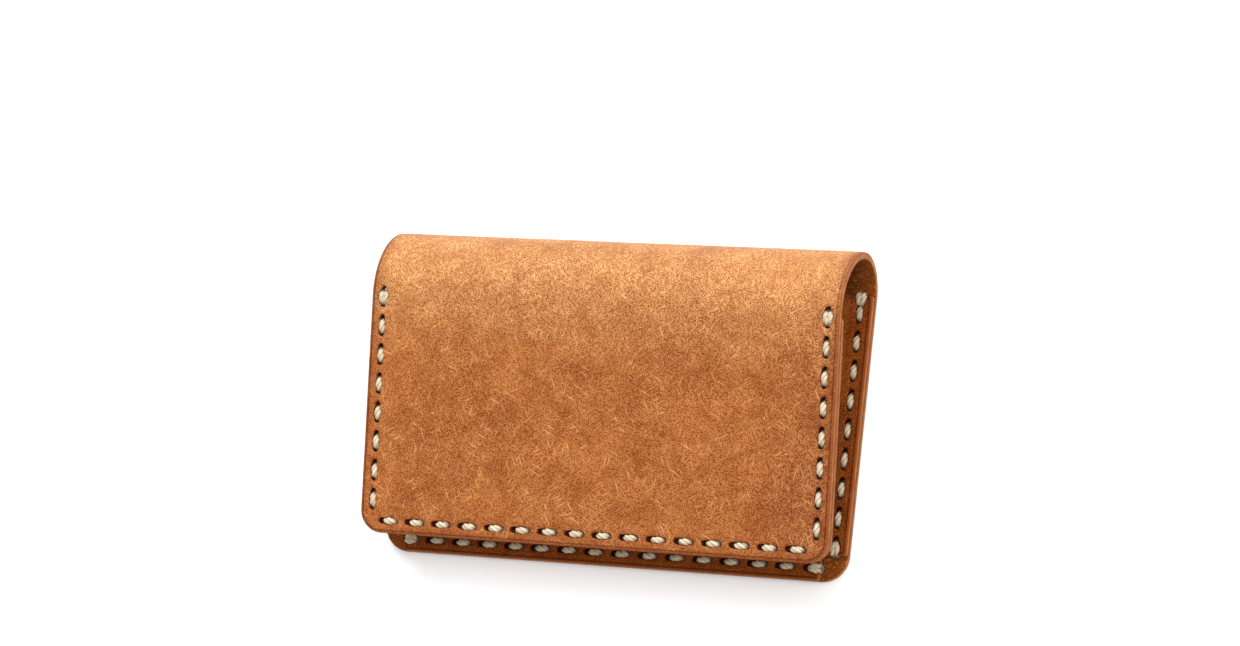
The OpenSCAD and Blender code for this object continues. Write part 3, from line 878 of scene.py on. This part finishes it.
def waxed_thread(name, dark, pale, between, hole_dirt_and_shade_colour):
    """Unbleached waxed cord: fine filaments that follow the twist, with painted shade in the grooves between its
    plies, and darker where it goes into a hole, partly for wax and dirt and partly as painted shade.
    """
    m = Nodes(bpy.data.materials.new(name))
    uv = m.new("ShaderNodeUVMap", uv_map="flat").outputs[0]
    stretched = m.new("ShaderNodeMapping", {"Vector": uv, "Scale": (30.0, 5.0, 1.0)})
    strand = m.noise(stretched, 1.0, 2.0, 0.6)
    ply = m.new("ShaderNodeSeparateXYZ", {"Vector": uv}).outputs[0]
    crown = m.math("ABSOLUTE", m.math("SUBTRACT", m.math("FRACT", m.times(ply, 3.0)), 0.5))
    groove = m.math("SUBTRACT", 0.5, crown)
    colour = m.mix(m.step(strand, 0.3, 0.7), dark, pale)
    # Painted shade in the grooves between the plies
    colour = m.mix(m.step(groove, 0.13, 0.0, (0.0, 0.45)), colour, between)
    # Darker where the cord goes into a hole: partly wax and dirt, partly painted shade
    depth = m.attribute("depth_mm")
    dirt_and_shade_in_hole = m.times(m.step(depth, 0.62, 1.25), m.step(depth, 2.75, 2.15))
    colour = m.mix(m.times(dirt_and_shade_in_hole, 0.85), colour, hole_dirt_and_shade_colour)
    m.shine(Specular_IOR_Level=0.4, Sheen_Weight=0.1)
    height = m.total((strand, 0.8), (m.step(groove, 0.0, 0.14), 1.0))
    return m.finish(colour, m.total((strand, 0.15), plus=0.45), height, 0.08 * MM, 0.9)


COVER_GRAIN = grain_leather(
    "cover_grain", dark=(0.140, 0.022, 0.002), mid=(0.215, 0.041, 0.004), light=(0.330, 0.095, 0.016),
    hair=(0.615, 0.275, 0.102), hair_amount=0.66, long_amount=0.85, fold_pale_and_highlight=0.13, rough=0.58, spec=0.2,
)
POCKET_GRAIN = grain_leather(
    "pocket_grain", dark=(0.085, 0.012, 0.001), mid=(0.185, 0.034, 0.003), light=(0.290, 0.075, 0.009),
    hair=(0.44, 0.16, 0.040), hair_amount=0.35, long_amount=0.35, fold_pale_and_highlight=0.0, rough=0.42, spec=0.09,
)
EDGE = edge_leather("burnished_edge", (0.090, 0.019, 0.001), (0.270, 0.080, 0.009), (0.420, 0.155, 0.028))
FLESH = flesh_leather("flesh_side", (0.070, 0.012, 0.001), (0.240, 0.056, 0.006), (0.600, 0.220, 0.045))
THREAD = waxed_thread(
    "waxed_thread", dark=(0.39, 0.295, 0.175), pale=(0.70, 0.60, 0.44), between=(0.26, 0.155, 0.07),
    hole_dirt_and_shade_colour=(0.10, 0.05, 0.02),
)

# ---- Cover ----
# The cover is cut where it has turned by these angles, into four pieces. The angles below, where the fold's bends
# begin and end, go with the cuts into zones that nothing here uses.
CUTS = (44, 88, 132)
BEND_BEGINS, BEND_ENDS = 9, 176
FOLD_LINES = [v_at(a) for a in CUTS]


def slow_swell(u, v):
    return 0.05 * (1 + noise2(u, v, 13.0))


def fine_swell(u, v):
    return 0.012 * noise2(u + 90, v, 2.2) + 0.012 * noise2(u, v + 70, 4.1)


def cover_relief(u, v, side):
    """Slight lift of the cover outwards. Both faces of the flap lift together, so it keeps its thickness. The
    back's outer face stays off the floor."""
    soft = slow_swell(u, v) * np.clip((v - V_REAR - 3) / 12, 0, 1)
    fine = fine_swell(u, v)
    return np.where(v < V_REAR, -0.012 + 0.8 * fine, soft + fine) if side == 0 else -soft + 1.5 * fine


# Which way the threads were pulled tight, as directions in u and v
PULL_FLAP, PULL_BACK = (1, 0.5), (1, -0.5)
back_show = pits_of(BACK_BOTTOM, 1, (0, BOTTOM_HOLES - 2))
for s in (-1, 1):
    back_show += pits_of(BACK_SIDE[s], 1, (0,))
flap_show = pits_of(FLAP_BOTTOM, 0, pulled=PULL_FLAP)
for s in (-1, 1):
    flap_show += pits_of(FLAP_SIDE[s], 0, (), (FLAP_SIDE_HOLES - 2,), PULL_FLAP)
cover_holes = BACK_BOTTOM + BACK_SIDE[-1] + BACK_SIDE[1] + FLAP_BOTTOM + FLAP_SIDE[-1] + FLAP_SIDE[1]
cover_loop = strip_outline(0, V_END, BACK_CORNER_R, FLAP_CORNER_R, FOLD_LINES)
cover = Sheet(
    cover_loop, cover_holes, on_cover, 0.0, (0.42, 0.16), (back_show + flap_show, []), cover_relief,
    FOLD_LINES, (V_REAR - 2.0, V_FLAP + 2.0),
)
names = ("cover_back_panel", "cover_fold_rear", "cover_fold_top", "cover_flap_panel")
spans = [-1e9] + FOLD_LINES + [1e9]
zones = zip((BEND_BEGINS,) + CUTS, CUTS + (BEND_ENDS,))
nodes = (("cover_back",), ("cover_fold_1",), ("cover_fold_2",), ("cover_fold_3", "cover_flap"))
for i, (name, zone) in enumerate(zip(names, zones)):
    band = sheet_object(name, cover, [COVER_GRAIN, FLESH, EDGE], (spans[i], spans[i + 1]))
    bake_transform(band)
    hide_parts(*nodes[i])

# ---- Flat pocket inside the flap ----
inner_pits = pits_of(FLAP_BOTTOM, 1)
for s in (-1, 1):
    inner_pits += pits_of(FLAP_SIDE[s], 1, (FLAP_SIDE_HOLES - 2,))
    inner_pits.append(Pit(FLAP_SIDE[s][0], FLAP_BOTTOM[0 if s < 0 else -1]))
pocket_holes = FLAP_BOTTOM + FLAP_SIDE[-1][:-1] + FLAP_SIDE[1][:-1]
pocket_loop = strip_outline(V_END - FLAP_POCKET_H, V_END, 0.8, FLAP_CORNER_R)


def pocket_relief(u, v, side):
    soft = slow_swell(u, v)
    return soft - 0.01 if side == 0 else -soft + fine_swell(u, v)


flap_pocket = Sheet(pocket_loop, pocket_holes, on_cover, THICK, (0.14, 0.4), ([], inner_pits), pocket_relief)
pocket_ob = sheet_object("flap_pocket_panel", flap_pocket, [FLESH, POCKET_GRAIN, EDGE])
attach(pocket_ob, "flap")
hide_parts("flap_pocket")

# ---- Box pocket ----
BOX_SIDE_U = FRONT_HALF + S_FLANGE + SIDE_U - (FRONT_HALF + BEND_R + FILLET_R)
BOX_ROW_V = FRONT_LOW - S_FLANGE - (FRONT_LOW - BEND_R - FILLET_R - MARGIN)
box_side = {s: row(BACK_SIDE_HOLES, s * BOX_SIDE_U, 0, MARGIN + CORNER_STEP, STITCH) for s in (-1, 1)}
box_bottom = row(BOTTOM_HOLES, -ROW_HALF, STITCH, BOX_ROW_V, 0)
BOX_HALF = HALF_W - FLANGE
BOX_CORNER = 0.6


def notch(gap):
    """The round notch in an edge that passes a hole's middle at a distance: half its width with a little to spare,
    and its points' distances from the middle across the edge and along it."""
    reach = math.sqrt(HOLE_R**2 - gap**2)
    turn = np.linspace(-1, 1, 9) * math.asin(reach / HOLE_R)
    return reach + 0.05, HOLE_R * np.cos(turn), HOLE_R * np.sin(turn)


def box_outline():
    """The right half from the bottom middle to the top middle, then mirrored. Its corners are cut away, and the
    flanges' ends have a notch each for the hole that lies on them."""
    low, far, wall_u, r = PATTERN_LOW, PATTERN_HALF, BOX_HALF - THICK - 0.05, BOX_CORNER
    base, fold = FRONT_LOW - S_FILLET, FRONT_HALF + S_WALL
    parts = [[[0, low]], line((0, low), (BOX_HALF - r, low)), low_corner(BOX_HALF, low, r)]
    u, v = box_bottom[-1]
    reach, away, along = notch(u - BOX_HALF)
    parts += [line((BOX_HALF, low + r), (BOX_HALF, v - reach)), np.stack([u - away, v + along], 1)]
    parts += [line((BOX_HALF, v + reach), (BOX_HALF, base - 0.35))]
    parts += [[[BOX_HALF, base - 0.3], [BOX_HALF - 0.35, base - 0.12], [wall_u, base]]]
    parts += [line((wall_u, base), (wall_u, FRONT_LOW - S_WALL)), [[wall_u, FRONT_LOW - S_WALL]]]
    t = np.radians(np.linspace(90, 0, 8)[1:-1])
    parts += [np.stack([FRONT_HALF + (wall_u - FRONT_HALF) * np.sin(t), FRONT_LOW - BEND_R * t], 1)]
    t = t[::-1]
    parts += [[[FRONT_HALF, FRONT_LOW]], np.stack([FRONT_HALF + BEND_R * t, FRONT_LOW - BEND_R * np.sin(t)], 1)]
    u, v = box_side[1][0]
    reach, away, along = notch(v - FLANGE)
    parts += [[[fold, FLANGE]], line((fold, FLANGE), (u - reach, FLANGE)), np.stack([u + along, v + away], 1)]
    parts += [line((u + reach, FLANGE), (far - r, FLANGE)), low_corner(far, FLANGE, r)]
    parts += [line((far, FLANGE + r), (far, BOX_TOP - r)), high_corner(far, BOX_TOP, r)]
    parts += [line((far - r, BOX_TOP), (0, BOX_TOP)), [[0, BOX_TOP]]]
    return mirrored(np.concatenate(parts))


def box_relief(u, v, side):
    fine = 0.012 * noise2(u + 30, v, 2.4) + 0.015 * noise2(u, v + 10, 5.0)
    return fine if side == 0 else -0.01 + 0.3 * fine


box_pits = pits_of(box_bottom, 0, (), (0, BOTTOM_HOLES - 2), PULL_BACK)
for s in (-1, 1):
    box_pits += pits_of(box_side[s], 0, (BACK_SIDE_HOLES - 2,), (0, BACK_SIDE_HOLES - 2), PULL_BACK)
box_holes = box_bottom[1:-1] + box_side[-1][1:-1] + box_side[1][1:-1]
box = Sheet(box_outline(), box_holes, on_box, 0.0, (0.4, 0.2), (box_pits, []), box_relief)
box_ob = sheet_object("box_pocket_shell", box, [POCKET_GRAIN, FLESH, EDGE])
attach(box_ob, "back")
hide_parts("box_pocket")

# ---- Threads ----
# Depths of the threads under the cover's outer face: where they show on the flap and on the box's flanges, on
# the flap's inner side and the back's outer side, and between the two layers
ON_FLAP, IN_FLAP, ON_FLANGE, IN_BACK, BETWEEN = 0.52, 2 * THICK - 0.5, 2 * THICK - 0.5, 0.62, THICK
left, right = FLAP_SIDE[-1], FLAP_SIDE[1]
top_pairs = [(left[-1], left[-2]), (right[-1], right[-2])]
visits = [left[-1], left[-2]] + left[::-1] + FLAP_BOTTOM + right + [right[-2], right[-1]]
flap_seam = Seam(visits, ON_FLAP, IN_FLAP, BETWEEN, top_pairs, PULL_FLAP)


def back_thread(holes):
    """Visits of a thread that is doubled over its first and its last stretch. Both doubled stretches show, so with
    an odd number of holes it ends one hole back."""
    last = [holes[-2], holes[-1], holes[-2]]
    return [holes[0], holes[1], holes[0]] + holes[1:] + last[: 2 + len(holes) % 2]


threads = [("flap_seam", flap_seam, "flap")]
back_seams = {"left_seam": BACK_SIDE[-1], "bottom_seam": BACK_BOTTOM, "right_seam": BACK_SIDE[1]}
for name, holes in back_seams.items():
    pairs = [(holes[0], holes[1]), (holes[-1], holes[-2])]
    seam = Seam(back_thread(holes), ON_FLANGE, IN_BACK, BETWEEN, pairs, PULL_BACK)
    threads.append((name, seam, "back"))
for name, seam, body in threads:
    cord = thread_object(name + "_cord", seam, THREAD)
    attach(cord, body)
    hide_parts(name + "_thread")

# ---- Floor, light and camera ----
bpy.ops.mesh.primitive_plane_add(size=6.0, location=(0, 0, -0.0001))
floor = bpy.context.object
floor.name = "floor"
paper = Nodes(bpy.data.materials.new("pale_floor"))
paper.shine(Base_Color=(0.92, 0.92, 0.92, 1), Roughness=0.9)
floor.data.materials.append(paper.owner)

scene = bpy.context.scene
scene.view_settings.view_transform = "Standard"
scene.world = bpy.data.worlds.new("studio")
sky = Nodes(scene.world, "Background")
sky.shine(Color=(1.0, 1.0, 1.0, 1))
# White at the horizon, so that the floor has no end, and dim overhead, where the lights are
rise = sky.new("ShaderNodeSeparateXYZ", {0: sky.new("ShaderNodeTexCoord").outputs["Generated"]}).outputs[2]
sky.put(sky.shader.inputs["Strength"], sky.step(rise, 0.10, 0.40, (1.0, 0.25)))


def far_softbox(name, direction, spread, strength):
    """A soft light as wide as spread in degrees, from far away, so that the whole floor is lit evenly."""
    light = bpy.data.lights.new(name, "SUN")
    light.angle, light.energy = math.radians(spread), strength
    ob = bpy.data.objects.new(name, light)
    ob.rotation_euler = Vector(direction).to_track_quat("Z", "Y").to_euler()
    scene.collection.objects.link(ob)


far_softbox("top", (0.42, 0.08, 1.0), 56, 2.68)
far_softbox("key", (-0.2, 0.95, 0.75), 48, 3.1)
far_softbox("side", (1.0, 0.05, 0.28), 28, 0.5)

# The camera stands where the photograph was taken from. Turn and tilt are about the point that it looks at.
CAMERA_DISTANCE = 0.9
FOCAL_LENGTH, SENSOR_WIDTH = 119.3, 36.0
LOOK_AT = Vector((-0.00034, 0.01728, 0.010))
TURN, TILT, ROLL = 23.25, 8.67, 6.49
camera = bpy.data.objects.new("camera", bpy.data.cameras.new("camera"))
camera.data.lens, camera.data.sensor_width = FOCAL_LENGTH, SENSOR_WIDTH
camera.data.clip_start, camera.data.clip_end = 0.05, 20.0
turned = Matrix.Translation(LOOK_AT)
for angle, axis in ((TURN, "Y"), (TILT, "X"), (ROLL, "Z")):
    turned @= Matrix.Rotation(math.radians(angle), 4, axis)
camera.matrix_world = turned @ Matrix.Translation((0, 0, CAMERA_DISTANCE))
scene.collection.objects.link(camera)
scene.camera = camera
